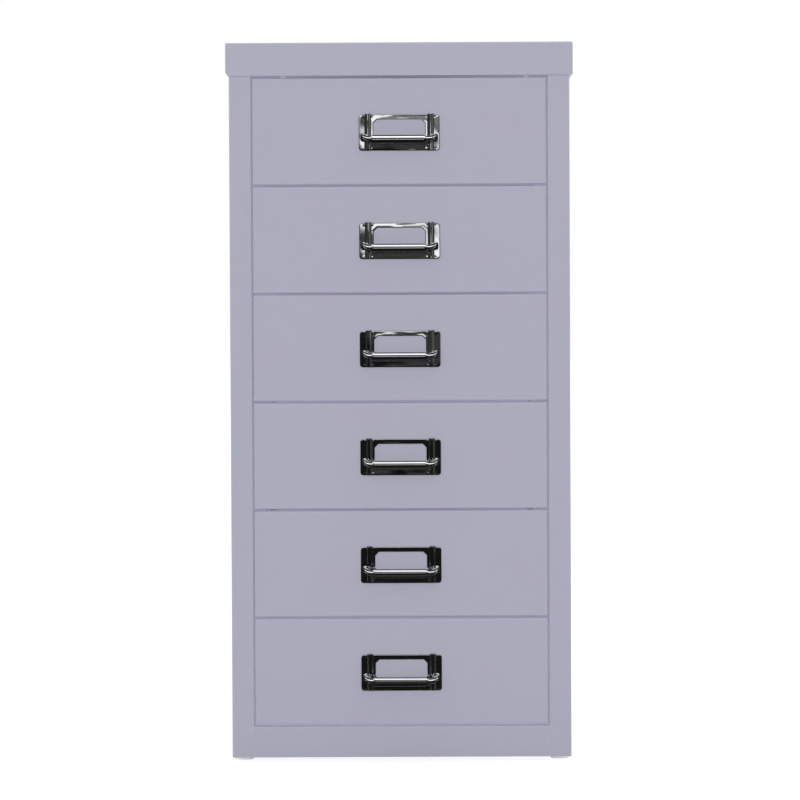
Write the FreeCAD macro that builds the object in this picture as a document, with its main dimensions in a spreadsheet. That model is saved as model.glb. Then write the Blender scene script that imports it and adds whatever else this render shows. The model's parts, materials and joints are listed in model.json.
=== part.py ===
import FreeCAD, Part
import os
import Sketcher

# Small metal drawer cabinet in millimetres: a folded sheet-steel body with a pressed lid and six
# drawers that hang by their side flanges in channel runners. +Z is up, the drawers open towards -Y,
# and the origin is on the floor under the middle of the whole cabinet, pulls included.
# Each piece is drawn with X across from the middle, Y back from the front face of the body and Z up,
# and its placement then carries it to the front face and, in a drawer, up to that drawer's bottom edge.

SIZES = [
    ("cabinet_width", 279, "outside width of the body, without the lid's overhang"),
    ("cabinet_depth", 380, "front face of the body to its back face"),
    ("cabinet_height", 590, "floor to the top of the lid"),
    ("sheet_gauge", 0.8, "steel of the body and the lid"),
    ("bend_radius", 1.2, "outside radius of a folded edge"),
    ("upright_width", 18.1, "front return of a side panel"),
    ("upright_lip_gap", 2, "inner lip along the opening, short of a drawer front's back"),
    ("foot_return", 18, "width of a side panel's return at the foot"),
    ("cap_return", 15, "width of a side panel's return under the lid"),
    ("relief_width", 0.6, "slit left at the corner between upright and plinth"),
    ("relief_run", 2.3, "how far the slit runs into the upright"),
    ("relief_fall_left", 2.4, "how far the left slit falls"),
    ("relief_fall_right", 1.1, "how far the right slit falls"),
    ("plinth_height", 25.5, "band below the lowest drawer"),
    ("plinth_return", 14, "depth of the plinth's top and bottom returns"),
    ("plinth_tab", 12, "end tab behind an upright"),
    ("plinth_lap", 6, "length over which a tab is joined to the plinth's face"),
    ("floor_drop", 3, "floor of the body below the plinth's top edge"),
    ("back_flange", 10, "forward flange of the back panel"),
    ("back_flange_gap", 2, "from a back flange's end to the sheet beyond it"),
    ("lid_overhang", 2.8, "lid beyond the body at each side"),
    ("lid_proud", 1.0, "lid beyond the body at the front and the back"),
    ("lid_skirt", 27.1, "height of the lid's skirts"),
    ("lid_clearance", 0.2, "tucked edge of a side skirt to the body"),
    ("lid_tuck_left", 2.8, "height over which the left skirt tucks in"),
    ("lid_tuck_right", 1.2, "height over which the right skirt tucks in"),
    ("rail_rise", 1.2, "top rail above the lid's lower edge"),
    ("rail_return", 12, "depth of the top rail's returns"),
    ("tongue_width", 5.3, "root of a tongue in the gap over the top drawer"),
    ("tongue_tip", 3.8, "free end of a tongue"),
    ("tongue_gap", 0.4, "tongue to the drawer front under it"),
    ("tongue_inset_left", 26.4, "left tongue in from the opening's side"),
    ("tongue_inset_right", 17.4, "right tongue in from the opening's side"),
    ("drawer_count", 6, "number of drawers"),
    ("drawer_gap", 1.4, "gap under each drawer front"),
    ("top_gap", 2.0, "gap between the top drawer and the lid"),
    ("side_gap", 0.8, "drawer front to the opening at each side"),
    ("front_depth", 14, "thickness of the hollow drawer front"),
    ("front_lip", 12, "rear lip of a drawer front, all round"),
    ("drawer_gauge", 0.7, "steel of a tray"),
    ("tray_bend", 1.6, "outside radius of a tray's bottom folds"),
    ("tray_lift", 2.5, "tray above its front's bottom edge"),
    ("tray_drop", 8, "tray flange below its front's top edge"),
    ("flange_width", 5.4, "tray flange out from the tray's side"),
    ("flange_lip", 3.5, "turned-down lip of a tray flange"),
    ("tray_rear_gap", 2, "tray short of the runners' rear ends"),
    ("runner_gauge", 1.0, "steel of a runner"),
    ("seat_gap", 0.3, "flange lip above the runner's ledge"),
    ("head_gap", 1.2, "tray flange below the runner's upper leg"),
    ("runner_tip_gap", 1.2, "runner legs to the tray's side"),
    ("runner_front_gap", 0.3, "closed drawer front to the runners' ends"),
    ("runner_rear_gap", 1.2, "runners to the flanges of the back panel"),
    ("stop_setback", 39.2, "front end of a runner to the back of its stop"),
    ("stop_width", 6, "width of a stop pressed down from a runner"),
    ("stop_drop", 3, "how far a stop reaches down"),
    ("pad_length", 12, "nylon glide pad along the runner"),
    ("pad_width", 9, "glide pad out from the tray flange"),
    ("pad_seat_gap", 0.15, "glide pad above the ledge"),
    ("pad_head_gap", 0.5, "glide pad below the runner's upper leg"),
    ("plate_width", 66.2, "card holder across"),
    ("plate_height", 29.8, "card holder up"),
    ("plate_gauge", 1.0, "steel of a card holder"),
    ("plate_corner", 2.5, "corner radius of a card holder"),
    ("plate_drop", 1.0, "card holder's middle below the front's middle"),
    ("window_side", 2.0, "strip between the window and a bead"),
    ("window_foot", 9.7, "strip under the window"),
    ("window_border", 4.1, "strip over the window"),
    ("window_cut", 3.0, "cut corners of the window"),
    ("bead_width", 5, "half-round bead across"),
    ("bead_rise", 1.8, "bead out from the plate"),
    ("bead_edge", 4.9, "bead to the plate's end"),
    ("bead_proud", 0.8, "bead beyond the plate's top edge"),
    ("pull_reach", 15, "front of the pull bar from the body's face"),
    ("bar_drop", 1.2, "bar's middle below its studs"),
    ("leg_length", 3.5, "straight leg between a bend of the bar and its stud"),
    ("leg_gap", 0.5, "leg's end in front of the bead"),
    ("bar_height", 7.4, "bar's height in its middle"),
    ("bar_thickness", 3.8, "bar's thickness in its middle"),
    ("bar_taper", 3, "length over which the oval runs out to round, next to each bend"),
    ("stud_diameter", 4.8, "round ends of the bar"),
    ("stud_drop", 20.1, "studs below the card holder's top"),
    ("stud_inset", 3.7, "studs in from the card holder's ends"),
    ("stud_clearance", 0.1, "stud to its hole, all round"),
    ("nut_diameter", 10, "push nut on a stud"),
    ("nut_thickness", 1.2, "thickness of a push nut"),
    ("stud_tail", 1.0, "stud beyond its push nut"),
    ("glide_diameter", 16.4, "head of a base glide"),
    ("glide_height", 3.4, "head of a base glide, which lifts the body"),
    ("glide_chamfer", 0.8, "chamfer round a glide's foot"),
    ("glide_side_gap", 0.6, "glide's rim in from the side of the body"),
    ("glide_front_gap", 6, "glide's axis behind the plinth's returns"),
    ("glide_rear_inset", 20, "glide's axis from the back of the body"),
    ("stem_diameter", 6, "stem of a glide"),
    ("stem_length", 6, "stem above the glide's head"),
    ("stem_clearance", 0.1, "stem to its hole, all round"),
]

PLACES = [
    ("half_width", "size.cabinet_width / 2"),
    ("inner_half", "half_width - size.sheet_gauge"),
    ("opening_half", "half_width - size.upright_width"),
    ("front_half", "opening_half - size.side_gap"),
    ("tray_half", "front_half - size.flange_width"),
    ("front_y", "(size.pull_reach - size.cabinet_depth - size.lid_proud) / 2"),
    ("back_inner", "size.cabinet_depth - size.sheet_gauge"),
    ("shell_top", "size.cabinet_height - size.sheet_gauge"),
    ("opening_bottom", "size.glide_height + size.plinth_height"),
    ("opening_top", "size.cabinet_height - size.lid_skirt"),
    ("rail_bottom", "opening_top + size.rail_rise"),
    ("upright_lip", "size.front_depth - size.upright_lip_gap"),
    ("floor_top", "opening_bottom - size.floor_drop"),
    ("front_height", "(opening_top - opening_bottom - size.top_gap) / size.drawer_count - size.drawer_gap"),
    ("drawer_pitch", "front_height + size.drawer_gap"),
    ("tray_top", "front_height - size.tray_drop"),
    ("ledge_top", "tray_top - size.flange_lip - size.seat_gap"),
    ("head_bottom", "tray_top + size.head_gap"),
    ("runner_tip", "tray_half + size.runner_tip_gap"),
    ("runner_front", "size.front_depth + size.runner_front_gap"),
    ("runner_back", "back_inner - size.back_flange - size.runner_rear_gap"),
    ("tray_back", "runner_back - size.tray_rear_gap"),
    ("pad_front", "tray_back - size.pad_length"),
    ("stop_back", "runner_front + size.stop_setback"),
    ("stop_inner", "front_half + size.pad_width / 2"),
    ("plate_bottom", "front_height / 2 - size.plate_drop - size.plate_height / 2"),
    ("plate_top", "plate_bottom + size.plate_height"),
    ("bead_middle", "size.plate_width / 2 - size.bead_edge - size.bead_width / 2"),
    ("bead_radius", "((size.bead_width / 2)^2 + size.bead_rise^2) / (2 * size.bead_rise)"),
    ("hollow_half", "size.bead_width / 2 - size.plate_gauge / 2"),
    ("hollow_radius", "(hollow_half^2 + size.bead_rise^2) / (2 * size.bead_rise)"),
    ("window_half", "bead_middle - size.bead_width / 2 - size.window_side"),
    ("stud_half", "size.plate_width / 2 - size.stud_inset"),
    ("stud_height", "plate_top - size.stud_drop"),
    ("stud_hole_radius", "size.stud_diameter / 2 + size.stud_clearance"),
    ("bar_front", "size.pull_reach - size.stud_diameter / 2"),
    ("leg_end", "size.plate_gauge + size.bead_rise + size.leg_gap"),
    ("leg_slant", "sqrt((bar_front - leg_end)^2 + size.bar_drop^2)"),
    ("bar_bend", "leg_slant - size.leg_length"),
    ("glide_half", "half_width - size.glide_side_gap - size.glide_diameter / 2"),
    ("glide_front", "size.plinth_return + size.glide_front_gap"),
    ("glide_rear", "size.cabinet_depth - size.glide_rear_inset"),
    ("stem_hole_radius", "size.stem_diameter / 2 + size.stem_clearance"),
]

SIDES = {"left": -1, "right": 1}

# Two places count as one when they differ by less than this share of the whole piece.
MATCH_SHARE = 1e-5


def fill_sheets(doc):
    """Make the two sheets: the driving sizes, and the places worked out from them."""
    sizes = doc.addObject("Spreadsheet::Sheet", "size")
    for row, (alias, figure, note) in enumerate(SIZES, start=1):
        sizes.set("A%d" % row, alias)
        sizes.set("B%d" % row, str(figure))
        sizes.set("C%d" % row, note)
        sizes.setAlias("B%d" % row, alias)
    doc.recompute()
    places = doc.addObject("Spreadsheet::Sheet", "place")
    for row, (alias, formula) in enumerate(PLACES, start=1):
        places.set("A%d" % row, alias)
        places.set("B%d" % row, "=" + formula)
        places.setAlias("B%d" % row, alias)
    doc.recompute()
    return sizes, places


def figure_of(thing, expression):
    """Work out an expression on the sheets as a plain number."""
    result = thing.evalExpression(expression)
    return float(getattr(result, "Value", result))


def new_body(doc, label):
    """Start a folded or pressed piece, carried back to the front face of the body."""
    body = doc.addObject("PartDesign::Body", label)
    body.Label = label
    body.setExpression("Placement.Base.y", "place.front_y")
    return body


def sketch_on(body, role, offset="0"):
    """Start a sketch on one of a piece's own planes, raised along the plane's normal."""
    plane = next(feature for feature in body.Origin.OriginFeatures if feature.Role == role)
    sketch = body.newObject("Sketcher::SketchObject", body.Name + "_sketch")
    sketch.AttachmentSupport = [(plane, "")]
    sketch.MapMode = "FlatFace"
    sketch.setExpression("AttachmentOffset.Base.z", offset)
    return sketch


def pin(sketch, edge, end, across, up):
    """Hold one point of a sketch at two expressions."""
    for kind, expression in (("DistanceX", across), ("DistanceY", up)):
        reach = figure_of(sketch, expression)
        index = sketch.addConstraint(Sketcher.Constraint(kind, -1, 1, edge, end, reach))
        name = "%s_%d" % (kind, index)
        sketch.renameConstraint(index, name)
        sketch.setExpression("Constraints." + name, expression)


def hold_radius(sketch, edge, expression):
    """Hold the radius of a circle or an arc at an expression."""
    index = sketch.addConstraint(Sketcher.Constraint("Radius", edge, figure_of(sketch, expression)))
    name = "radius_%d" % index
    sketch.renameConstraint(index, name)
    sketch.setExpression("Constraints." + name, expression)


def draw_outline(sketch, corners):
    """Draw a closed outline of straight runs through corners given as pairs of expressions."""
    spots = [FreeCAD.Vector(figure_of(sketch, across), figure_of(sketch, up), 0) for across, up in corners]
    first = sketch.GeometryCount
    last = len(spots) - 1
    for index, spot in enumerate(spots):
        following = spots[0] if index == last else spots[index + 1]
        sketch.addGeometry(Part.LineSegment(spot, following), False)
    for index, (across, up) in enumerate(corners):
        following = first if index == last else first + index + 1
        sketch.addConstraint(Sketcher.Constraint("Coincident", first + index, 2, following, 1))
        pin(sketch, first + index, 1, across, up)


def draw_rectangle(sketch, left, right, bottom, top):
    """Draw a rectangle from four expressions."""
    draw_outline(sketch, [(left, bottom), (right, bottom), (right, top), (left, top)])


def draw_circle(sketch, across, up, radius):
    """Draw a circle from three expressions."""
    centre = FreeCAD.Vector(figure_of(sketch, across), figure_of(sketch, up), 0)
    upright = FreeCAD.Vector(0, 0, 1)
    edge = sketch.addGeometry(Part.Circle(centre, upright, figure_of(sketch, radius)), False)
    pin(sketch, edge, 3, across, up)
    hold_radius(sketch, edge, radius)


def draw_bow(sketch, middle, half, base, rise, radius):
    """Draw a segment of a circle that bows towards the front, over a chord along X."""
    left = "%s - %s" % (middle, half)
    right = "%s + %s" % (middle, half)
    start = FreeCAD.Vector(figure_of(sketch, left), figure_of(sketch, base), 0)
    end = FreeCAD.Vector(figure_of(sketch, right), figure_of(sketch, base), 0)
    crown = FreeCAD.Vector(figure_of(sketch, middle), figure_of(sketch, base) - figure_of(sketch, rise), 0)
    arc = sketch.addGeometry(Part.Arc(start, crown, end), False)
    chord = sketch.addGeometry(Part.LineSegment(end, start), False)
    ends = {}
    for number, point in ((1, sketch.getPoint(arc, 1)), (2, sketch.getPoint(arc, 2))):
        ends["left" if point.x < crown.x else "right"] = number
    sketch.addConstraint(Sketcher.Constraint("Coincident", arc, ends["right"], chord, 1))
    sketch.addConstraint(Sketcher.Constraint("Coincident", arc, ends["left"], chord, 2))
    pin(sketch, chord, 1, right, base)
    pin(sketch, chord, 2, left, base)
    hold_radius(sketch, arc, radius)


def pad(body, sketch, length, reverse=False):
    """Add material from a sketch; on the upright planes the reversed way is the positive axis."""
    feature = body.newObject("PartDesign::Pad", body.Name + "_pad")
    feature.Profile = sketch
    feature.setExpression("Length", length)
    feature.Reversed = reverse
    sketch.Visibility = False
    body.Document.recompute()
    return feature


def pocket(body, sketch, length, reverse=False):
    """Cut with a sketch, and make sure that something was cut."""
    before = body.Shape.Volume
    feature = body.newObject("PartDesign::Pocket", body.Name + "_pocket")
    feature.Profile = sketch
    feature.setExpression("Length", length)
    feature.Reversed = reverse
    body.Document.recompute()
    if body.Shape.Volume >= before:
        raise RuntimeError("a pocket of %s cuts nothing" % body.Label)
    return feature


def edges_along(shape, direction, spots):
    """Name the straight edges along an axis that pass each spot, its own axis left as None."""
    slack = shape.BoundBox.DiagonalLength * MATCH_SHARE
    names = []
    for number, edge in enumerate(shape.Edges, start=1):
        if len(edge.Vertexes) != 2 or not isinstance(edge.Curve, Part.Line):
            continue
        ends = [vertex.Point for vertex in edge.Vertexes]
        run = ends[1] - ends[0]
        if abs(abs(run[direction]) - run.Length) > slack:
            continue
        for spot in spots:
            gaps = [abs(ends[0][axis] - place) for axis, place in enumerate(spot) if place is not None]
            if max(gaps) < slack:
                names.append("Edge%d" % number)
                break
    return names


def round_edges(body, base, names, radius):
    """Round the named edges of the last feature to an expression's radius."""
    if not names:
        raise RuntimeError("no edge of %s to round" % body.Label)
    feature = body.newObject("PartDesign::Fillet", body.Name + "_fillet")
    feature.Base = (base, names)
    feature.setExpression("Radius", radius)
    body.Document.recompute()
    return feature


def hollow(body, base, open_face, thickness):
    """Turn a block into a sheet of one thickness, open at the named face."""
    feature = body.newObject("PartDesign::Thickness", body.Name + "_shell")
    feature.Base = (base, [open_face])
    feature.setExpression("Value", thickness)
    feature.Reversed = True
    body.Document.recompute()
    return feature


def lowest_face(shape):
    """Name the flat face that lies lowest."""
    heights = [face.BoundBox.ZMax for face in shape.Faces]
    return "Face%d" % (heights.index(min(heights)) + 1)


def side_panel(doc, label, side):
    """Side sheet with its upright, inner lip, and returns at the foot and under the lid."""
    body = new_body(doc, label)
    outer = "%d * place.half_width" % side
    inner = "%d * place.inner_half" % side
    opening = "%d * place.opening_half" % side
    lip = "%d * (place.opening_half + size.sheet_gauge)" % side

    wall = sketch_on(body, "XY_Plane", "size.glide_height")
    draw_outline(wall, [
        (outer, "0"), (opening, "0"), (opening, "size.sheet_gauge"), (inner, "size.sheet_gauge"),
        (inner, "size.cabinet_depth"), (outer, "size.cabinet_depth")])
    last = pad(body, wall, "place.shell_top - size.glide_height")
    corner = figure_of(body, outer)
    last = round_edges(body, last, edges_along(last.Shape, 2, [(corner, 0, None)]), "size.bend_radius")

    inner_lip = sketch_on(body, "XY_Plane", "place.opening_bottom")
    draw_rectangle(inner_lip, opening, lip, "0", "place.upright_lip")
    last = pad(body, inner_lip, "place.rail_bottom - place.opening_bottom")
    spot = (figure_of(body, opening), 0, None)
    middle = figure_of(body, "place.opening_top") / 2
    names = [name for name in edges_along(last.Shape, 2, [spot])
             if last.Shape.getElement(name).BoundBox.ZMin < middle < last.Shape.getElement(name).BoundBox.ZMax]
    last = round_edges(body, last, names, "size.sheet_gauge")

    foot = sketch_on(body, "XY_Plane", "size.glide_height")
    foot_inner = "%d * (place.half_width - size.foot_return)" % side
    draw_rectangle(foot, inner, foot_inner, "size.sheet_gauge", "place.back_inner")
    pad(body, foot, "size.sheet_gauge")
    cap = sketch_on(body, "XY_Plane", "place.shell_top - size.sheet_gauge")
    cap_inner = "%d * (place.half_width - size.cap_return)" % side
    draw_rectangle(cap, inner, cap_inner, "size.sheet_gauge", "place.back_inner")
    pad(body, cap, "size.sheet_gauge")

    holes = sketch_on(body, "XY_Plane", "size.glide_height + size.sheet_gauge")
    for back in ("place.glide_front", "place.glide_rear"):
        draw_circle(holes, "%d * place.glide_half" % side, back, "place.stem_hole_radius")
    pocket(body, holes, "2 * size.sheet_gauge")

    fall = "size.relief_fall_left" if side < 0 else "size.relief_fall_right"
    slit_end = "%d * (place.opening_half + size.relief_run)" % side
    slit = sketch_on(body, "XZ_Plane")
    draw_outline(slit, [
        (opening, "place.opening_bottom"),
        (slit_end, "place.opening_bottom - %s" % fall),
        (slit_end, "place.opening_bottom - %s - size.relief_width" % fall),
        (opening, "place.opening_bottom - size.relief_width")])
    pocket(body, slit, "size.sheet_gauge")
    return body


def back_panel(doc):
    """Back sheet between the side panels, with two forward flanges that are fixed to them."""
    body = new_body(doc, "back_panel")
    sheet = sketch_on(body, "XY_Plane", "size.glide_height")
    draw_rectangle(sheet, "-place.inner_half", "place.inner_half", "place.back_inner", "size.cabinet_depth")
    pad(body, sheet, "place.shell_top - size.glide_height")
    flanges = sketch_on(body, "XY_Plane", "place.floor_top + size.back_flange_gap")
    for side in SIDES.values():
        draw_rectangle(
            flanges, "%d * place.inner_half" % side, "%d * (place.inner_half - size.sheet_gauge)" % side,
            "place.back_inner - size.back_flange", "place.back_inner")
    top = "place.shell_top - size.sheet_gauge - size.back_flange_gap"
    pad(body, flanges, "%s - place.floor_top - size.back_flange_gap" % top)
    return body


def top_lid(doc):
    """Pressed lid: skirts on four sides, the side skirts tucked in at the bottom."""
    body = new_body(doc, "top_lid")
    outer = "(place.half_width + size.lid_overhang)"
    tucked = "(place.half_width + size.lid_clearance)"
    back = "size.cabinet_depth + size.lid_proud"
    block = sketch_on(body, "XY_Plane", "place.opening_top")
    draw_rectangle(block, "-" + outer, outer, "-size.lid_proud", back)
    pad(body, block, "size.lid_skirt")
    tucks = sketch_on(body, "XZ_Plane", "size.lid_proud")
    for side, tuck in ((-1, "size.lid_tuck_left"), (1, "size.lid_tuck_right")):
        draw_outline(tucks, [
            ("%d * %s" % (side, outer), "place.opening_top"),
            ("%d * %s" % (side, tucked), "place.opening_top"),
            ("%d * %s" % (side, outer), "place.opening_top + " + tuck)])
    last = pocket(body, tucks, "size.cabinet_depth + 2 * size.lid_proud")

    wide = figure_of(body, outer)
    front = -figure_of(body, "size.lid_proud")
    rear = figure_of(body, back)
    top = figure_of(body, "size.cabinet_height")
    names = edges_along(last.Shape, 2, [(x, y, None) for x in (-wide, wide) for y in (front, rear)])
    names += edges_along(last.Shape, 0, [(None, front, top), (None, rear, top)])
    names += edges_along(last.Shape, 1, [(-wide, None, top), (wide, None, top)])
    last = round_edges(body, last, names, "size.bend_radius")
    last = hollow(body, last, lowest_face(last.Shape), "size.sheet_gauge")

    trim = sketch_on(body, "XY_Plane", "place.opening_top")
    draw_rectangle(
        trim, "-" + tucked, tucked, "size.sheet_gauge - size.lid_proud",
        "size.cabinet_depth + size.lid_proud - size.sheet_gauge")
    pocket(body, trim, "size.lid_skirt - size.sheet_gauge", reverse=True)
    return body


def top_front_rail(doc):
    """Channel behind the lid's front skirt, with two tongues in the gap over the top drawer."""
    body = new_body(doc, "top_front_rail")
    top = "(place.shell_top - size.sheet_gauge)"
    back = "(size.sheet_gauge + size.rail_return)"
    section = sketch_on(body, "YZ_Plane", "-place.inner_half")
    draw_outline(section, [
        ("size.sheet_gauge", "place.rail_bottom"),
        (back, "place.rail_bottom"),
        (back, "place.rail_bottom + size.sheet_gauge"),
        ("2 * size.sheet_gauge", "place.rail_bottom + size.sheet_gauge"),
        ("2 * size.sheet_gauge", top + " - size.sheet_gauge"),
        (back, top + " - size.sheet_gauge"),
        (back, top),
        ("size.sheet_gauge", top)])
    pad(body, section, "2 * place.inner_half")
    tongues = sketch_on(body, "XZ_Plane", "-size.sheet_gauge")
    tip = "place.opening_top - size.top_gap + size.tongue_gap"
    for middle in ("size.tongue_inset_left - place.opening_half", "place.opening_half - size.tongue_inset_right"):
        draw_outline(tongues, [
            (middle + " - size.tongue_width / 2", "place.rail_bottom + size.sheet_gauge"),
            (middle + " - size.tongue_width / 2", "place.rail_bottom"),
            (middle + " - size.tongue_tip / 2", tip),
            (middle + " + size.tongue_tip / 2", tip),
            (middle + " + size.tongue_width / 2", "place.rail_bottom"),
            (middle + " + size.tongue_width / 2", "place.rail_bottom + size.sheet_gauge")])
    pad(body, tongues, "size.sheet_gauge", reverse=True)
    return body


def front_plinth(doc):
    """Band under the lowest drawer: a channel between the uprights, with a tab behind each."""
    body = new_body(doc, "front_plinth")
    bottom = "size.glide_height"
    top = "place.opening_bottom"
    section = sketch_on(body, "YZ_Plane", "-place.opening_half")
    draw_outline(section, [
        ("0", bottom), ("size.plinth_return", bottom),
        ("size.plinth_return", bottom + " + size.sheet_gauge"),
        ("size.sheet_gauge", bottom + " + size.sheet_gauge"),
        ("size.sheet_gauge", top + " - size.sheet_gauge"),
        ("size.plinth_return", top + " - size.sheet_gauge"),
        ("size.plinth_return", top), ("0", top)])
    last = pad(body, section, "2 * place.opening_half")
    edge = (None, 0, figure_of(body, top))
    round_edges(body, last, edges_along(last.Shape, 0, [edge]), "size.sheet_gauge")
    tabs = sketch_on(body, "XZ_Plane", "-size.sheet_gauge")
    for side in SIDES.values():
        draw_rectangle(
            tabs, "%d * (place.opening_half - size.plinth_lap)" % side,
            "%d * (place.opening_half + size.plinth_tab)" % side,
            bottom + " + size.sheet_gauge", top + " - size.sheet_gauge")
    pad(body, tabs, "size.sheet_gauge", reverse=True)
    return body


def base_pan(doc):
    """Floor of the body: a tray turned upside down on the side panels' foot returns."""
    body = new_body(doc, "base_pan")
    block = sketch_on(body, "XY_Plane", "size.glide_height + size.sheet_gauge")
    draw_rectangle(block, "-place.inner_half", "place.inner_half", "size.plinth_return", "place.back_inner")
    last = pad(body, block, "place.floor_top - size.glide_height - size.sheet_gauge")
    half = figure_of(body, "place.inner_half")
    ends = (figure_of(body, "size.plinth_return"), figure_of(body, "place.back_inner"))
    top = figure_of(body, "place.floor_top")
    names = edges_along(last.Shape, 0, [(None, end, top) for end in ends])
    names += edges_along(last.Shape, 1, [(-half, None, top), (half, None, top)])
    last = round_edges(body, last, names, "size.bend_radius")
    hollow(body, last, lowest_face(last.Shape), "size.sheet_gauge")
    return body


def base_glides(doc):
    """Four nylon glides, each a low round foot with a stem pushed up into the body."""
    glides = []
    for number, (across, back) in enumerate(
            [(side, back) for side in SIDES.values() for back in ("place.glide_front", "place.glide_rear")]):
        foot = doc.addObject("Part::Cylinder", "glide_foot_%d" % number)
        foot.setExpression("Radius", "size.glide_diameter / 2 - size.glide_chamfer")
        foot.setExpression("Height", "size.glide_chamfer")
        cone = doc.addObject("Part::Cone", "glide_edge_%d" % number)
        cone.setExpression("Radius1", "size.glide_diameter / 2 - size.glide_chamfer")
        cone.setExpression("Radius2", "size.glide_diameter / 2")
        cone.setExpression("Height", "size.glide_chamfer")
        head = doc.addObject("Part::Cylinder", "glide_head_%d" % number)
        head.setExpression("Radius", "size.glide_diameter / 2")
        head.setExpression("Height", "size.glide_height - size.glide_chamfer")
        head.setExpression("Placement.Base.z", "size.glide_chamfer")
        stem = doc.addObject("Part::Cylinder", "glide_stem_%d" % number)
        stem.setExpression("Radius", "size.stem_diameter / 2")
        stem.setExpression("Height", "size.glide_height + size.stem_length")
        glide = doc.addObject("Part::MultiFuse", "glide_%d" % number)
        glide.Shapes = [foot, cone, head, stem]
        glide.Refine = True
        glide.setExpression("Placement.Base.x", "%d * place.glide_half" % across)
        glide.setExpression("Placement.Base.y", back)
        glides.append(glide)
    group = doc.addObject("Part::Compound", "base_glides")
    group.Label = "base_glides"
    group.Links = glides
    group.setExpression("Placement.Base.y", "place.front_y")
    return group


def runner(doc, label, side):
    """Channel that opens towards the tray, with a stop pressed down from its upper leg."""
    body = new_body(doc, label)
    web = "%d * place.inner_half" % side
    web_inner = "%d * (place.inner_half - size.runner_gauge)" % side
    tip = "%d * place.runner_tip" % side
    section = sketch_on(body, "XZ_Plane", "-place.runner_front")
    draw_outline(section, [
        (web, "place.ledge_top - size.runner_gauge"),
        (tip, "place.ledge_top - size.runner_gauge"),
        (tip, "place.ledge_top"),
        (web_inner, "place.ledge_top"),
        (web_inner, "place.head_bottom"),
        (tip, "place.head_bottom"),
        (tip, "place.head_bottom + size.runner_gauge"),
        (web, "place.head_bottom + size.runner_gauge")])
    pad(body, section, "place.runner_back - place.runner_front", reverse=True)
    stop = sketch_on(body, "XZ_Plane", "size.runner_gauge - place.stop_back")
    draw_rectangle(
        stop, "%d * place.stop_inner" % side, "%d * (place.stop_inner + size.stop_width)" % side,
        "place.head_bottom - size.stop_drop", "place.head_bottom + size.runner_gauge")
    pad(body, stop, "size.runner_gauge", reverse=True)
    return body


def drawer_front(doc, label):
    """Hollow folded front: a face, four returns and a rear lip, with holes for the pull's studs."""
    body = new_body(doc, label)
    block = sketch_on(body, "XZ_Plane")
    draw_rectangle(block, "-place.front_half", "place.front_half", "0", "place.front_height")
    last = pad(body, block, "size.front_depth", reverse=True)
    half = figure_of(body, "place.front_half")
    top = figure_of(body, "place.front_height")
    names = edges_along(last.Shape, 0, [(None, 0, 0), (None, 0, top)])
    names += edges_along(last.Shape, 2, [(-half, 0, None), (half, 0, None)])
    round_edges(body, last, names, "size.bend_radius")

    inside = sketch_on(body, "XZ_Plane", "-size.sheet_gauge")
    draw_rectangle(
        inside, "size.sheet_gauge - place.front_half", "place.front_half - size.sheet_gauge",
        "size.sheet_gauge", "place.front_height - size.sheet_gauge")
    pocket(body, inside, "size.front_depth - 2 * size.sheet_gauge")
    mouth = sketch_on(body, "XZ_Plane", "size.sheet_gauge - size.front_depth")
    draw_rectangle(
        mouth, "size.front_lip - place.front_half", "place.front_half - size.front_lip",
        "size.front_lip", "place.front_height - size.front_lip")
    pocket(body, mouth, "size.sheet_gauge")
    holes = sketch_on(body, "XZ_Plane")
    for side in SIDES.values():
        draw_circle(holes, "%d * place.stud_half" % side, "place.stud_height", "place.stud_hole_radius")
    pocket(body, holes, "size.sheet_gauge")
    return body


def drawer_tray(doc, label):
    """Folded tray: floor and sides with hanging flanges in one section, then its two end walls."""
    body = new_body(doc, label)
    gauge = "size.drawer_gauge"
    section = sketch_on(body, "XZ_Plane", "-size.front_depth")
    half = [
        ("place.front_half", "place.tray_top - size.flange_lip"),
        ("place.front_half", "place.tray_top"),
        ("(place.tray_half - %s)" % gauge, "place.tray_top"),
        ("(place.tray_half - %s)" % gauge, "size.tray_lift + " + gauge)]
    under = [
        ("place.tray_half", "size.tray_lift"),
        ("place.tray_half", "place.tray_top - " + gauge),
        ("(place.front_half - %s)" % gauge, "place.tray_top - " + gauge),
        ("(place.front_half - %s)" % gauge, "place.tray_top - size.flange_lip")]
    inside = half + [("-" + across, up) for across, up in reversed(half)]
    outside = [("-" + across, up) for across, up in reversed(under)] + under
    draw_outline(section, inside + outside)
    last = pad(body, section, "place.tray_back - size.front_depth", reverse=True)
    side = figure_of(body, "place.tray_half")
    floor = figure_of(body, "size.tray_lift")
    names = edges_along(last.Shape, 1, [(-side, None, floor), (side, None, floor)])
    last = round_edges(body, last, names, "size.tray_bend")
    thick = figure_of(body, gauge)
    inner = [(sign * (side - thick), None, floor + thick) for sign in SIDES.values()]
    last = round_edges(body, last, edges_along(last.Shape, 1, inner), "size.tray_bend - " + gauge)

    front_wall = sketch_on(body, "XZ_Plane", "-size.front_depth")
    draw_rectangle(
        front_wall, "size.tray_bend - place.tray_half", "place.tray_half - size.tray_bend",
        "size.tray_lift", "place.tray_top")
    pad(body, front_wall, gauge, reverse=True)
    rear_wall = sketch_on(body, "XZ_Plane", gauge + " - place.tray_back")
    draw_outline(rear_wall, [
        ("size.tray_bend - place.tray_half", "size.tray_lift"),
        ("place.tray_half - size.tray_bend", "size.tray_lift"),
        ("place.tray_half - %s / 2" % gauge, "size.tray_lift + size.tray_bend"),
        ("place.tray_half - %s / 2" % gauge, "place.tray_top"),
        ("%s / 2 - place.tray_half" % gauge, "place.tray_top"),
        ("%s / 2 - place.tray_half" % gauge, "size.tray_lift + size.tray_bend")])
    pad(body, rear_wall, gauge, reverse=True)
    return body


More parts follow.
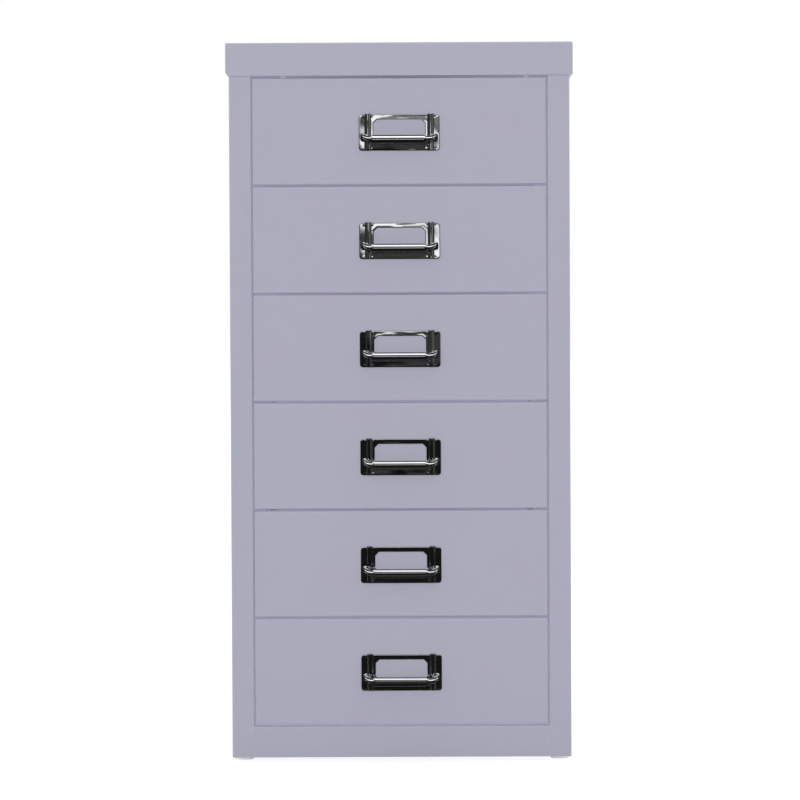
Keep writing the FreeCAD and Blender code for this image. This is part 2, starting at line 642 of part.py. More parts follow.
def card_holder(doc, label):
    """Chrome plate with a card window and a hollow half-round bead at each side of it."""
    body = new_body(doc, label)
    plate = sketch_on(body, "XZ_Plane")
    draw_rectangle(plate, "-size.plate_width / 2", "size.plate_width / 2", "place.plate_bottom", "place.plate_top")
    side = "place.window_half"
    sill = "place.plate_bottom + size.window_foot"
    heel = sill + " + size.window_cut"
    shoulder = "place.plate_top - size.window_border - size.window_cut"
    lintel = "place.plate_top - size.window_border"
    draw_outline(plate, [
        ("size.window_cut - " + side, sill), (side + " - size.window_cut", sill), (side, heel),
        (side, shoulder), (side + " - size.window_cut", lintel), ("size.window_cut - " + side, lintel),
        ("-" + side, shoulder), ("-" + side, heel)])
    last = pad(body, plate, "size.plate_gauge")
    end = figure_of(body, "size.plate_width / 2")
    low = figure_of(body, "place.plate_bottom")
    high = figure_of(body, "place.plate_top")
    corners = [(x, None, z) for x in (-end, end) for z in (low, high)]
    round_edges(body, last, edges_along(last.Shape, 1, corners), "size.plate_corner")

    beads = sketch_on(body, "XY_Plane", "place.plate_bottom")
    hollows = []
    for sign in ("-", ""):
        draw_bow(beads, sign + "place.bead_middle", "size.bead_width / 2", "-size.plate_gauge",
                 "size.bead_rise", "place.bead_radius")
        hollows.append(sign + "place.bead_middle")
    pad(body, beads, "size.plate_height + size.bead_proud")
    inside = sketch_on(body, "XY_Plane", "place.plate_bottom")
    for middle in hollows:
        draw_bow(inside, middle, "place.hollow_half", "0", "size.bead_rise", "place.hollow_radius")
    pocket(body, inside, "size.plate_height + size.bead_proud", reverse=True)
    holes = sketch_on(body, "XZ_Plane", "size.plate_gauge + size.bead_rise")
    for sign in SIDES.values():
        draw_circle(holes, "%d * place.stud_half" % sign, "place.stud_height", "place.stud_hole_radius")
    pocket(body, holes, "size.plate_gauge + size.bead_rise")
    return body


def pull_bar(doc, label):
    """Bent bar: an oval middle that runs out to round bends, whose legs rise to two straight studs."""
    bar = doc.addObject("Part::Feature", label)
    bar.Label = label
    stud = figure_of(bar, "size.stud_diameter / 2")
    stud_half = figure_of(bar, "place.stud_half")
    bend = figure_of(bar, "place.bar_bend")
    straight = stud_half - bend
    flat = straight - figure_of(bar, "size.bar_taper")
    tall = figure_of(bar, "size.bar_height / 2")
    deep = figure_of(bar, "size.bar_thickness / 2")
    level = figure_of(bar, "place.stud_height")
    front = figure_of(bar, "-place.bar_front")
    drop = figure_of(bar, "size.bar_drop")
    leg_end = figure_of(bar, "-place.leg_end")
    leg = figure_of(bar, "size.leg_length")
    tail = figure_of(bar, "size.sheet_gauge + size.nut_thickness + size.stud_tail")

    def oval(across):
        """Flattened section at one place across, its long way up."""
        centre = FreeCAD.Vector(across, front, level - drop)
        long_end = centre + FreeCAD.Vector(0, 0, tall)
        short_end = centre - FreeCAD.Vector(0, deep, 0)
        return Part.Wire(Part.Ellipse(long_end, short_end, centre).toShape())

    def ring(across):
        """Round section at one place across, its seam at the top as the oval's is."""
        circle = Part.Circle(FreeCAD.Vector(across, front, level - drop), FreeCAD.Vector(1, 0, 0), stud)
        circle.XAxis = FreeCAD.Vector(0, 0, 1)
        return Part.Wire(circle.toShape())

    middle = Part.Face(oval(-flat)).extrude(FreeCAD.Vector(flat + flat, 0, 0))
    outward = FreeCAD.Vector(0, front - leg_end, -drop).normalize()
    pieces = []
    for side in SIDES.values():
        across = FreeCAD.Vector(side, 0, 0)
        end = FreeCAD.Vector(side * straight, front, level - drop)
        pieces.append(Part.makeLoft([oval(side * flat), ring(side * straight)], True, False))
        disc = Part.Face(Part.Wire(Part.Circle(end, across, stud).toShape()))
        pieces.append(disc.revolve(end - outward * bend, outward.cross(across), 90))
        root = FreeCAD.Vector(side * stud_half, leg_end, level)
        pieces.append(Part.makeCylinder(stud, leg, root, outward))
        pieces.append(Part.makeSphere(stud, root))
        pieces.append(Part.makeCylinder(stud, tail - leg_end, root, FreeCAD.Vector(0, 1, 0)))
    bar.Shape = middle.fuse(pieces)
    bar.setExpression("Placement.Base.y", "place.front_y")
    return bar


def push_nuts(doc, label):
    """Two sprung washers on the studs, behind the face of a drawer front."""
    nuts = []
    for name, side in SIDES.items():
        disc = doc.addObject("Part::Cylinder", "%s_%s_disc" % (label, name))
        disc.setExpression("Radius", "size.nut_diameter / 2")
        disc.setExpression("Height", "size.nut_thickness")
        bore = doc.addObject("Part::Cylinder", "%s_%s_bore" % (label, name))
        bore.setExpression("Radius", "size.stud_diameter / 2")
        bore.setExpression("Height", "size.nut_thickness")
        nut = doc.addObject("Part::Cut", "%s_%s" % (label, name))
        nut.Base = disc
        nut.Tool = bore
        nut.Placement.Rotation = FreeCAD.Rotation(FreeCAD.Vector(1, 0, 0), -90)
        nut.setExpression("Placement.Base.x", "%d * place.stud_half" % side)
        nut.setExpression("Placement.Base.y", "size.sheet_gauge")
        nut.setExpression("Placement.Base.z", "place.stud_height")
        nuts.append(nut)
    group = doc.addObject("Part::Compound", label)
    group.Label = label
    group.Links = nuts
    group.setExpression("Placement.Base.y", "place.front_y")
    return group


def glide_pads(doc, label):
    """Two nylon pads on the outer faces of the tray flanges, at the rear."""
    pads = []
    for name, side in SIDES.items():
        block = doc.addObject("Part::Box", "%s_%s" % (label, name))
        block.setExpression("Length", "size.pad_width")
        block.setExpression("Width", "size.pad_length")
        bottom = "place.ledge_top + size.pad_seat_gap"
        block.setExpression("Height", "place.head_bottom - size.pad_head_gap - " + bottom.replace(" + ", " - "))
        if side < 0:
            block.setExpression("Placement.Base.x", "-place.front_half - size.pad_width")
        else:
            block.setExpression("Placement.Base.x", "place.front_half")
        block.setExpression("Placement.Base.y", "place.pad_front")
        block.setExpression("Placement.Base.z", bottom)
        pads.append(block)
    group = doc.addObject("Part::Compound", label)
    group.Label = label
    group.Links = pads
    group.setExpression("Placement.Base.y", "place.front_y")
    return group


def check(doc, pieces):
    """Stop if any object of the document failed, or any piece is empty or not valid."""
    for thing in doc.Objects:
        if "Invalid" in thing.State or "Error" in thing.State:
            raise RuntimeError("%s did not build: %s" % (thing.Name, thing.State))
    for piece in pieces:
        if piece.Shape.isNull() or not piece.Shape.isValid() or not piece.Shape.Solids:
            raise RuntimeError("%s has no valid solid" % piece.Label)


def main():
    """Build the cabinet, check it and write one file for each piece."""
    doc = FreeCAD.newDocument("drawer_cabinet")
    sizes = fill_sheets(doc)[0]
    pieces = [side_panel(doc, name + "_side_panel", side) for name, side in SIDES.items()]
    pieces += [back_panel(doc), top_lid(doc), top_front_rail(doc), front_plinth(doc)]
    pieces += [base_pan(doc), base_glides(doc)]

    count = round(figure_of(sizes, "drawer_count"))
    for number in range(1, count + 1):
        drawer = "drawer_%d_" % number
        risers = [runner(doc, "runner_%s_%d" % (name, number), side) for name, side in SIDES.items()]
        risers += [
            drawer_front(doc, drawer + "front"), drawer_tray(doc, drawer + "tray"),
            card_holder(doc, drawer + "card_holder"), pull_bar(doc, drawer + "pull_bar"),
            push_nuts(doc, drawer + "push_nuts"), glide_pads(doc, drawer + "glide_pads")]
        rise = "place.opening_bottom + size.drawer_gap + %d * place.drawer_pitch" % (count - number)
        for piece in risers:
            piece.setExpression("Placement.Base.z", rise)
        pieces += risers
    doc.recompute()
    check(doc, pieces)

    os.makedirs("parts", exist_ok=True)
    for piece in pieces:
        piece.Shape.exportStep("parts/%s.step" % piece.Label)
    whole = Part.makeCompound([piece.Shape for piece in pieces]).BoundBox
    travel = figure_of(sizes, "place.pad_front - place.stop_back")
    print("pieces", len(pieces), "box", whole, "glide pads meet the stops after", round(travel, 3))


main()
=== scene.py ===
"""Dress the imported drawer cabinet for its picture.

The painted sheets, the runners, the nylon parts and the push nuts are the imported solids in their
own finishes. The bright pieces, a card holder and a pull bar on each drawer, are worked out here as
fine surfaces, because their look is all in how they bend a reflection. Sizes are in millimetres
until a piece is put into its mesh.
"""

import json
import logging
import math
from dataclasses import dataclass
from enum import Enum
from typing import ClassVar

import bpy
import numpy as np
from mathutils import Matrix, Vector


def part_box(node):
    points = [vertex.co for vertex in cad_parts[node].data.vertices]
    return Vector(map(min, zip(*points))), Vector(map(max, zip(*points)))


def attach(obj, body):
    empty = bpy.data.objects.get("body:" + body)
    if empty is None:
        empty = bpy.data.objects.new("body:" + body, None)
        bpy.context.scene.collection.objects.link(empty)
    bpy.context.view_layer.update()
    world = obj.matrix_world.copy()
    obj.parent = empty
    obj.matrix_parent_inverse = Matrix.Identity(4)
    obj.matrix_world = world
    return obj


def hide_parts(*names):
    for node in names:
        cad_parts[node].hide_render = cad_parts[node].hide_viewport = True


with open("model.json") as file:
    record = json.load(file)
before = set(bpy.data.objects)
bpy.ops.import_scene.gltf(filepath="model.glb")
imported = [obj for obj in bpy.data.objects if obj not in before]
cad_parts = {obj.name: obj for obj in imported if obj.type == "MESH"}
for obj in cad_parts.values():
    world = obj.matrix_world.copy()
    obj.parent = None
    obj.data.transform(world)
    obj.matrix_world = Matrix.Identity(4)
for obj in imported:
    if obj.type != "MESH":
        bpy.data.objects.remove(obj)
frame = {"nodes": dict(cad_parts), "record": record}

MM = 0.001
DRAWERS = range(1, 7)
NOISE_MIDDLE = (0.35, 0.65)
COLOUR_STOPS = (0.32, 0.68)
WHITE = (1.0, 1.0, 1.0, 1.0)
Socket = bpy.types.NodeSocket
Colour = tuple[float, float, float]
Place = tuple[float, float, float]
Span = tuple[float, float]
log = logging.getLogger("drawer_cabinet")


class Slot(Enum):
    """The record's material slots."""

    PAINT = "painted_steel"
    CHROME = "chrome"
    ZINC = "zinc_steel"
    NYLON = "nylon"


class Graph:
    """The nodes of a material or a world, added and wired one call at a time."""

    def __init__(self, tree: bpy.types.NodeTree) -> None:
        """Start from an empty tree.

        Args:
            tree: The node tree of a material or a world.
        """
        tree.nodes.clear()
        self.tree = tree

    def add(self, kind: str, inputs: dict | None = None, **settings: object) -> bpy.types.Node:
        """Add one node.

        Args:
            kind: The node's type without its ShaderNode prefix.
            inputs: A value or another node's output for each input, by its name or number.
            **settings: The node's own settings.

        Returns:
            The new node.
        """
        node = self.tree.nodes.new("ShaderNode" + kind)
        for name, value in settings.items():
            setattr(node, name, value)
        for name, value in (inputs or {}).items():
            if isinstance(value, Socket):
                self.tree.links.new(value, node.inputs[name])
            else:
                node.inputs[name].default_value = value
        return node

    def noise(self, place: Socket, size: float, detail: float = 2.0) -> Socket:
        """Add a noise whose patches are about one size across.

        Args:
            place: The coordinates it follows.
            size: Width of a patch in millimetres.
            detail: How many finer layers are laid over it.

        Returns:
            The noise's strength, about a half on the whole.
        """
        inputs = {"Vector": place, "Scale": 1.0 / (size * MM), "Detail": detail, "Roughness": 0.5}
        return self.add("TexNoise", inputs).outputs[0]

    def spread(self, value: Socket, low: float, high: float) -> Socket:
        """Stretch the middle of a noise over a range.

        Args:
            value: The noise.
            low: What its weak patches become.
            high: What its strong patches become.

        Returns:
            The stretched value.
        """
        inputs = {0: value, 1: NOISE_MIDDLE[0], 2: NOISE_MIDDLE[1], 3: low, 4: high}
        return self.add("MapRange", inputs).outputs[0]

    def bump(self, height: Socket, strength: float, depth: float,
             under: Socket | None = None) -> Socket:
        """Turn a height into a fine relief of the skin.

        Args:
            height: The height, from zero to one.
            strength: How much of the relief shows.
            depth: What a height of one measures, in millimetres.
            under: The relief that this one lies on.

        Returns:
            The relief's normal.
        """
        inputs = {"Strength": strength, "Distance": depth * MM, "Height": height}
        if under is not None:
            inputs["Normal"] = under
        return self.add("Bump", inputs).outputs[0]

    def maths(self, operation: str, *values: float | Socket) -> Socket:
        """Do one sum.

        Args:
            operation: Blender's name of the sum.
            *values: What goes into it.

        Returns:
            The result.
        """
        return self.add("Math", dict(enumerate(values)), operation=operation).outputs[0]

    def blend_colours(self, value: Socket, first: Colour, second: Colour) -> Socket:
        """Run from one colour to another as a noise grows.

        Args:
            value: The noise.
            first: The colour of its weak patches.
            second: The colour of its strong patches.

        Returns:
            The colour.
        """
        ramp = self.add("ValToRGB", {0: value})
        for stop, place, colour in zip(ramp.color_ramp.elements, COLOUR_STOPS, (first, second)):
            stop.position = place
            stop.color = (*colour, 1.0)
        return ramp.outputs[0]


@dataclass(frozen=True)
class Finish:
    """What all the finishes share: a name and a way to start the material."""

    name: str

    def start(self) -> tuple[bpy.types.Material, Graph, Socket]:
        """Start the material.

        Returns:
            The material, its nodes, and the place on the piece in metres.
        """
        material = bpy.data.materials.new(self.name)
        material.use_nodes = True
        graph = Graph(material.node_tree)
        return material, graph, graph.add("TexCoord").outputs["Object"]

    def close(self, graph: Graph, sockets: dict) -> None:
        """Wire the surface to the output.

        Args:
            graph: The material's nodes.
            sockets: Values and outputs for the surface's own sockets.
        """
        surface = graph.add("BsdfPrincipled", sockets)
        graph.add("OutputMaterial", {"Surface": surface.outputs[0]})


@dataclass(frozen=True)
class PowderCoat(Finish):
    """Satin powder coat: a faint drift of the colour, an orange-peel skin and a fine grain.

    The coat glows a little where nearly nothing of the room is in sight, as in the gaps round the
    drawer fronts. This painted glow stands in for light straying between the pale sheets, so the
    joints don't go black. Mirror rays see the coat much darker than its colour, a painted dark
    reflection, so the bright metal mirrors it dark.
    """

    colour: Colour = (0.412, 0.412, 0.503)
    drift: float = 0.012
    drift_size: float = 45.0
    peel_size: float = 1.7
    peel_depth: float = 0.03
    grain_size: float = 0.35
    grain_depth: float = 0.01
    roughness: float = 0.42
    roughness_drift: float = 0.03
    roughness_size: float = 14.0
    painted_gap_glow: float = 0.50
    gap_glow_reach: float = 150.0
    gap_glow_room: Span = (0.15, 0.42)
    painted_reflection_darkness: float = 0.05

    def build(self) -> bpy.types.Material:
        """Build the material.

        Returns:
            The material.
        """
        material, graph, place = self.start()
        red, green, blue = self.colour
        warm = (red * (1 + self.drift), green * (1 - self.drift), blue)
        cool = (red * (1 - self.drift), green * (1 + self.drift / 2), blue)
        peel = graph.bump(graph.noise(place, self.peel_size, 1.0), 0.35, self.peel_depth)
        grain = graph.bump(graph.noise(place, self.grain_size, 1.0), 0.25, self.grain_depth, peel)
        # painted glow: the coat emits its own colour where ambient occlusion finds the gaps shut,
        # standing in for stray light between the sheets
        reach = {"Distance": self.gap_glow_reach * MM}
        room = graph.add("AmbientOcclusion", reach, samples=16).outputs["AO"]
        shut, wide = self.gap_glow_room
        fall = {0: room, 1: shut, 2: wide, 3: self.painted_gap_glow, 4: 0.0}
        lift = graph.add("MapRange", fall).outputs[0]
        coat = graph.blend_colours(graph.noise(place, self.drift_size, 3.0), cool, warm)
        # painted dark reflection: mirror rays see the coat at a small fraction of its colour
        glossy = graph.add("LightPath").outputs["Is Glossy Ray"]
        plain = graph.maths("SUBTRACT", 1.0, glossy)
        dark = tuple(self.painted_reflection_darkness * part for part in self.colour) + (1.0,)
        seen = graph.add("Mix", {0: glossy, 6: coat, 7: dark}, data_type="RGBA").outputs[2]
        dull, bright = self.roughness - self.roughness_drift, self.roughness + self.roughness_drift
        self.close(graph, {
            "Emission Color": (*self.colour, 1.0),
            "Emission Strength": graph.maths("MULTIPLY", lift, plain),
            "Base Color": seen,
            "Roughness": graph.spread(graph.noise(place, self.roughness_size), dull, bright),
            "Specular IOR Level": 0.5, "Normal": grain})
        return material


@dataclass(frozen=True)
class Chrome(Finish):
    """Bright chrome plate: mirror smooth, with a breath of haze and faint polishing marks."""

    colour: Colour = (0.70, 0.71, 0.73)
    shade: Colour = (0.66, 0.67, 0.68)
    cloud_size: float = 9.0
    roughness: float = 0.035
    haze: float = 0.035
    haze_size: float = 6.0
    mark_size: float = 0.6
    mark_depth: float = 0.004
    mark_stretch: float = 0.15

    def build(self) -> bpy.types.Material:
        """Build the material.

        Returns:
            The material.
        """
        material, graph, place = self.start()
        scale = (self.mark_stretch, 1.0, 1.0)
        stretched = graph.add("Mapping", {"Vector": place, "Scale": scale}).outputs[0]
        haze = graph.noise(place, self.haze_size, 3.0)
        self.close(graph, {
            "Base Color": graph.blend_colours(
                graph.noise(place, self.cloud_size), self.shade, self.colour),
            "Metallic": 1.0,
            "Roughness": graph.spread(haze, self.roughness, self.roughness + self.haze),
            "Normal": graph.bump(graph.noise(stretched, self.mark_size), 0.05, self.mark_depth)})
        return material


@dataclass(frozen=True)
class Zinc(Finish):
    """Zinc plate on spring steel: a dull shine with bluish and straw patches."""

    blue: Colour = (0.56, 0.59, 0.65)
    straw: Colour = (0.63, 0.61, 0.57)
    patch_size: float = 2.5
    crystal_size: float = 0.8
    crystal_depth: float = 0.02
    roughness: Span = (0.26, 0.4)
    roughness_size: float = 1.2

    def build(self) -> bpy.types.Material:
        """Build the material.

        Returns:
            The material.
        """
        material, graph, place = self.start()
        cells = {"Vector": place, "Scale": 1 / (self.crystal_size * MM)}
        crystals = graph.add("TexVoronoi", cells).outputs[0]
        self.close(graph, {
            "Base Color": graph.blend_colours(
                graph.noise(place, self.patch_size), self.blue, self.straw),
            "Metallic": 1.0,
            "Roughness": graph.spread(graph.noise(place, self.roughness_size), *self.roughness),
            "Normal": graph.bump(crystals, 0.2, self.crystal_depth)})
        return material


@dataclass(frozen=True)
class Nylon(Finish):
    """Natural nylon: milky, a little yellow, with a fine moulded skin."""

    colour: Colour = (0.92, 0.92, 0.90)
    shade: Colour = (0.88, 0.88, 0.85)
    cloud_size: float = 7.0
    skin_size: float = 0.5
    skin_depth: float = 0.03
    roughness: Span = (0.42, 0.52)
    roughness_size: float = 3.0

    def build(self) -> bpy.types.Material:
        """Build the material.

        Returns:
            The material.
        """
        material, graph, place = self.start()
        self.close(graph, {
            "Base Color": graph.blend_colours(
                graph.noise(place, self.cloud_size), self.shade, self.colour),
            "Roughness": graph.spread(graph.noise(place, self.roughness_size), *self.roughness),
            "Specular IOR Level": 0.5,
            "Normal": graph.bump(graph.noise(place, self.skin_size), 0.2, self.skin_depth)})
        return material


def grid_faces(rows: int, columns: int, closed: bool = False) -> np.ndarray:
    """Join a grid of points with four-sided faces.

    Args:
        rows: How many rows of points there are.
        columns: How many points a row has.
        closed: Whether the last point of a row meets the first.

    Returns:
        One row of four point numbers for each face.
    """
    across = np.arange(columns if closed else columns - 1)
    up = np.arange(rows - 1)[:, None] * columns
    step = (across + 1) % columns
    corners = (up + across, up + step, up + columns + step, up + columns + across)
    return np.stack([corner.ravel() for corner in corners], axis=1)


def volume_of(points: np.ndarray, faces: list[list[int]]) -> float:
    """Work out the signed volume inside a closed surface, each face fanned from its first corner.

    Args:
        points: The points, one to a row.
        faces: Point numbers of each face.

    Returns:
        The volume, negative when the faces point inwards.
    """
    count = np.array([len(face) for face in faces])
    flat = np.concatenate([np.asarray(face) for face in faces])
    first = np.repeat(flat[np.concatenate([[0], np.cumsum(count)[:-1]])], count)
    following = np.roll(flat, -1)
    ends = np.cumsum(count) - 1
    following[ends] = first[ends]
    across = np.cross(points[flat], points[following])
    return float(np.einsum("ij,ij->i", points[first], across).sum() / 6.0)


def make_piece(name: str, points: np.ndarray, faces: list[list[int]],
               crease: float = 40.0) -> bpy.types.Object:
    """Put a closed surface into a mesh, with its faces outwards.

    Args:
        name: The piece's name.
        points: The points in millimetres, one to a row.
        faces: Point numbers of each face.
        crease: Edges sharper than this many degrees keep their edge.

    Returns:
        The new object, which sits at the origin.
    """
    if volume_of(points, faces) < 0:
        faces = [face[::-1] for face in faces]
    mesh = bpy.data.meshes.new(name)
    mesh.from_pydata((points * MM).tolist(), [], faces)
    mesh.validate()
    mesh.polygons.foreach_set("use_smooth", np.ones(len(mesh.polygons), dtype=bool))
    mesh.set_sharp_from_angle(angle=math.radians(crease))
    mesh.update()
    piece = bpy.data.objects.new(name, mesh)
    bpy.context.scene.collection.objects.link(piece)
    return piece


def steps(*runs: tuple[float, float, int]) -> np.ndarray:
    """Lay out rising values, run after run.

    Args:
        *runs: Where each run starts and ends, and how many steps it has.

    Returns:
        The values, with each meeting point once.
    """
    parts = [np.linspace(start, end, count + 1)[:-1] for start, end, count in runs]
    return np.concatenate([*parts, [runs[-1][1]]])


@dataclass(frozen=True)
class PlateSet:
    """How one plate has come out of the press: small leans, in radians that the plate looks up.

    Twist is the lean gained for each millimetre to the right. The strips under and over the window
    lean further on their own, and the upper one dips or rises in one soft wave.
    """

    lean: float = 0.0
    twist: float = 0.0
    under: float = -0.03
    over: float = 0.0
    wave: float = 0.0
    wave_middle: float = 0.0
    wave_reach: float = 8.0


PLATE_SETS = {
    1: PlateSet(lean=-0.0035, twist=0.00045, under=-0.043, over=0.018,
                wave=-0.015, wave_middle=-15.0, wave_reach=7.0),
    2: PlateSet(lean=0.024, twist=0.00040, under=-0.037,
                wave=-0.015, wave_middle=2.0, wave_reach=7.0),
    3: PlateSet(twist=0.0003, under=0.008, over=0.034,
                wave=0.009, wave_middle=-12.0, wave_reach=9.0),
    4: PlateSet(twist=-0.0001, under=0.040, over=0.012),
    5: PlateSet(twist=0.0001, under=0.050, over=0.008),
    6: PlateSet(twist=-0.0001, under=0.020, over=0.010)}


@dataclass(frozen=True)
class Ripple:
    """One slow sine over the plate.

    Across and up are radians gained for each millimetre, turn is how far each drawer shifts it, and
    lead is where it starts.
    """

    across: float
    up: float
    turn: float
    share: float
    lead: float = 0.0


RIPPLES = (
    Ripple(across=1 / 3.6, up=0.22, turn=1.0, share=0.45),
    Ripple(across=1 / 8.5, up=-1 / 7.0, turn=2.3, share=1.0),
    Ripple(across=1 / 19.0, up=1 / 4.4, turn=0.6, share=0.5, lead=math.pi / 2))


@dataclass
class CardHolder:
    """A pressed chrome plate with a card window and a half-round bead at each side of it."""

    width: float = 66.2
    height: float = 29.8
    gauge: float = 1.0
    corner: float = 2.5
    window_half: float = 21.2
    sill: float = 9.7
    border: float = 4.1
    cut: float = 3.0
    bead_middle: float = 25.7
    bead_half: float = 2.5
    bead_rise: float = 1.8
    bead_proud: float = 0.8
    bead_end: float = 0.45
    edge: float = 0.55
    bead_foot: float = 0.92
    fillet: float = 0.12
    bead_margin: float = 0.3
    warp: float = 0.030
    warp_fade: float = 1.5
    drawer_shift: float = 1.7
    strip_margin: float = 1.0
    stud_half: float = 29.4
    dimple: float = 0.035
    dimple_reach: float = 3.4
    pucker: float = 0.10
    pucker_reach: float = 1.0
    pucker_inside: float = 0.6
    pucker_outside: float = 0.9
    pucker_up: float = 1.1
    hollow_share: float = 0.98
    hollow_slack: float = 0.05
    back_edge: float = 0.4
    thinnest: float = 0.25
    sliver: float = 0.01

    def bow(self, across: np.ndarray, half: float, rise: float) -> np.ndarray:
        """Height of a bead: a circle's arc that runs into the plate with a small fillet.

        The arc has the radius (half^2 + rise^2) / (2 rise). Beyond its foot it goes on along its
        tangent, and the smooth maximum of that and zero gives the fillet.

        Args:
            across: Places across the plate.
            half: Half the bead's width.
            rise: The bead's height.

        Returns:
            The height at each place.
        """
        off = np.abs(np.abs(across) - self.bead_middle)
        radius = (half ** 2 + rise ** 2) / (2 * rise)
        last = self.bead_foot * half
        near = np.minimum(off, last)
        root = np.sqrt(radius ** 2 - near ** 2)
        arc = root - (radius - rise) - (off - near) * last / math.sqrt(radius ** 2 - last ** 2)
        return (arc + np.sqrt(arc ** 2 + self.fillet ** 2)) / 2

    def waves(self, across: np.ndarray, up: np.ndarray, number: int) -> np.ndarray:
        """How far pressing has pulled the plate out of flat: the sum of the ripples.

        Args:
            across: Places across the plate.
            up: Places up the plate.
            number: The drawer's number.

        Returns:
            The height of the warp at each place.
        """
        shift = self.drawer_shift * number
        return self.warp * sum(
            ripple.share * np.sin(
                across * ripple.across + up * ripple.up + ripple.turn * shift + ripple.lead)
            for ripple in RIPPLES)

    def sway(self, across: np.ndarray, up: np.ndarray, number: int) -> np.ndarray:
        """How far the plate's face has swayed: its lean and twist, and those of its two strips.

        A face that looks up by a small angle falls back by that angle times the way up. The strips'
        own leans count from the window's sill and lintel, fade out under the beads, and the upper
        one is a bell curve's height more at the middle of its wave.

        Args:
            across: Places across the plate.
            up: Places up the plate.
            number: The drawer's number.

        Returns:
            The height of the sway at each place.
        """
        plate = PLATE_SETS[number]
        whole = (plate.lean + plate.twist * across) * (up - self.height / 2)
        inner = (self.bead_middle + self.bead_half - np.abs(across)) / (2 * self.bead_half)
        inner = np.clip(inner, 0, 1)
        inner = inner * inner * (3 - 2 * inner)
        bell = np.exp(-((across - plate.wave_middle) / plate.wave_reach) ** 2)
        below = np.clip(self.sill - up, 0, None)
        above = np.clip(up - self.height + self.border + self.strip_margin, 0, None)
        return -whole + inner * (plate.under * below - (plate.over + plate.wave * bell) * above)

    def marks(self, across: np.ndarray, up: np.ndarray) -> np.ndarray:
        """Small marks of the press: a dimple round each stud, and puckers beside each bead's ends.

        Each is a bell curve of the distance from its middle.

        Args:
            across: Places across the plate.
            up: Places up the plate.

        Returns:
            The height of the marks at each place.
        """
        out = np.abs(across)
        far = np.hypot(out - self.stud_half, up - self.sill)
        height = -self.dimple * np.exp(-(far / self.dimple_reach) ** 2)
        inside = self.bead_middle - self.bead_half - self.pucker_inside
        outside = self.bead_middle + self.bead_half + self.pucker_outside
        for beside in (inside, outside):
            for end in (self.pucker_up, self.height - self.pucker_up):
                far = np.hypot(out - beside, up - end)
                height = height + self.pucker * np.exp(-(far / self.pucker_reach) ** 2)
        return height

    def lines(self) -> tuple[np.ndarray, np.ndarray, np.ndarray]:
        """Lay out the grid's lines, close together at the edges and over the beads.

        Returns:
            The lines across, and the shares up the lower and the upper band.
        """
        half, edge = self.width / 2, self.edge
        square, window = self.window_half - self.cut, self.window_half
        inner = self.bead_middle - self.bead_half - self.bead_margin
        outer = self.bead_middle + self.bead_half + self.bead_margin
        right = steps(
            (0, square, 18), (square, window, 6), (window, window + edge, 5),
            (window + edge, inner, 4), (inner, outer, 36), (outer, half - edge, 10),
            (half - edge, half, 7))
        low = steps((0, edge / self.sill, 6), (edge / self.sill, 1 - edge / self.sill, 18),
                    (1 - edge / self.sill, 1, 5))
        share = edge / self.border
        high = steps((0, share, 5), (share, 1 - share, 12), (1 - share, 1, 6))
        return np.concatenate([-right[:0:-1], right]), low, high

    def places(self) -> tuple[np.ndarray, np.ndarray, np.ndarray, int, int]:
        """Work out where each point of the grid lies on the plate.

        A column follows the plate's outline at both ends, whose corners draw the margin's columns
        in along a quarter circle, and the window's sill and lintel between, which turn into the cut
        corners and then go on level across the beads.

        Returns:
            Places across, places up, the plate's top at each column, and the rows where the window
            starts and ends.
        """
        across, low, high = self.lines()
        out = np.abs(across)
        lintel, square = self.height - self.border, self.window_half - self.cut
        slope = np.clip(out - square, 0, self.cut)
        dome = np.clip(1 - ((out - self.bead_middle) / self.bead_half) ** 2, 0, None)
        top = self.height + self.bead_proud * np.sqrt(dome)
        sides = np.linspace(0, 1, 15)[1:-1]
        heel, shoulder = self.sill + slope, lintel - slope
        up = np.concatenate([
            low[:, None] * heel, heel + sides[:, None] * (shoulder - heel),
            shoulder + high[:, None] * (top - shoulder)])
        level = up * self.height / top
        near_end = np.minimum(level, self.height - level)
        bite = np.clip(self.corner - near_end, 0, self.corner)
        reach = self.width / 2 - self.corner + np.sqrt(self.corner ** 2 - bite ** 2)
        foot = self.bead_middle + self.bead_half
        scale = (reach - foot) / (self.width / 2 - foot)
        drawn = np.where(out > foot, foot + (out - foot) * scale, out)
        return np.sign(across) * drawn, up, top, len(low) - 1, len(low) + len(sides)

    def inset(self, across: np.ndarray, up: np.ndarray, top: np.ndarray) -> np.ndarray:
        """Distance to the nearest edge, of the rounded outline or of the window's eight sides.

        Args:
            across: Places across the plate.
            up: Places up the plate.
            top: The plate's top at each column.

        Returns:
            The distance at each place.
        """
        out = np.abs(across)
        level = up * self.height / top
        end = np.minimum(level, self.height - level)
        side = self.width / 2 - out
        corner, root = self.corner, math.sqrt(2)
        arc = np.hypot(np.clip(corner - side, 0, None), np.clip(corner - end, 0, None))
        rounded = (side < corner) & (end < corner)
        outline = np.where(rounded, corner - arc, np.minimum(side, end))
        lintel, square = self.height - self.border, self.window_half - self.cut
        window = np.maximum.reduce([
            out - self.window_half, up - lintel, self.sill - up,
            (out + up - square - lintel) / root, (out - up - square + self.sill) / root])
        return np.clip(np.minimum(outline, window), 0, None)

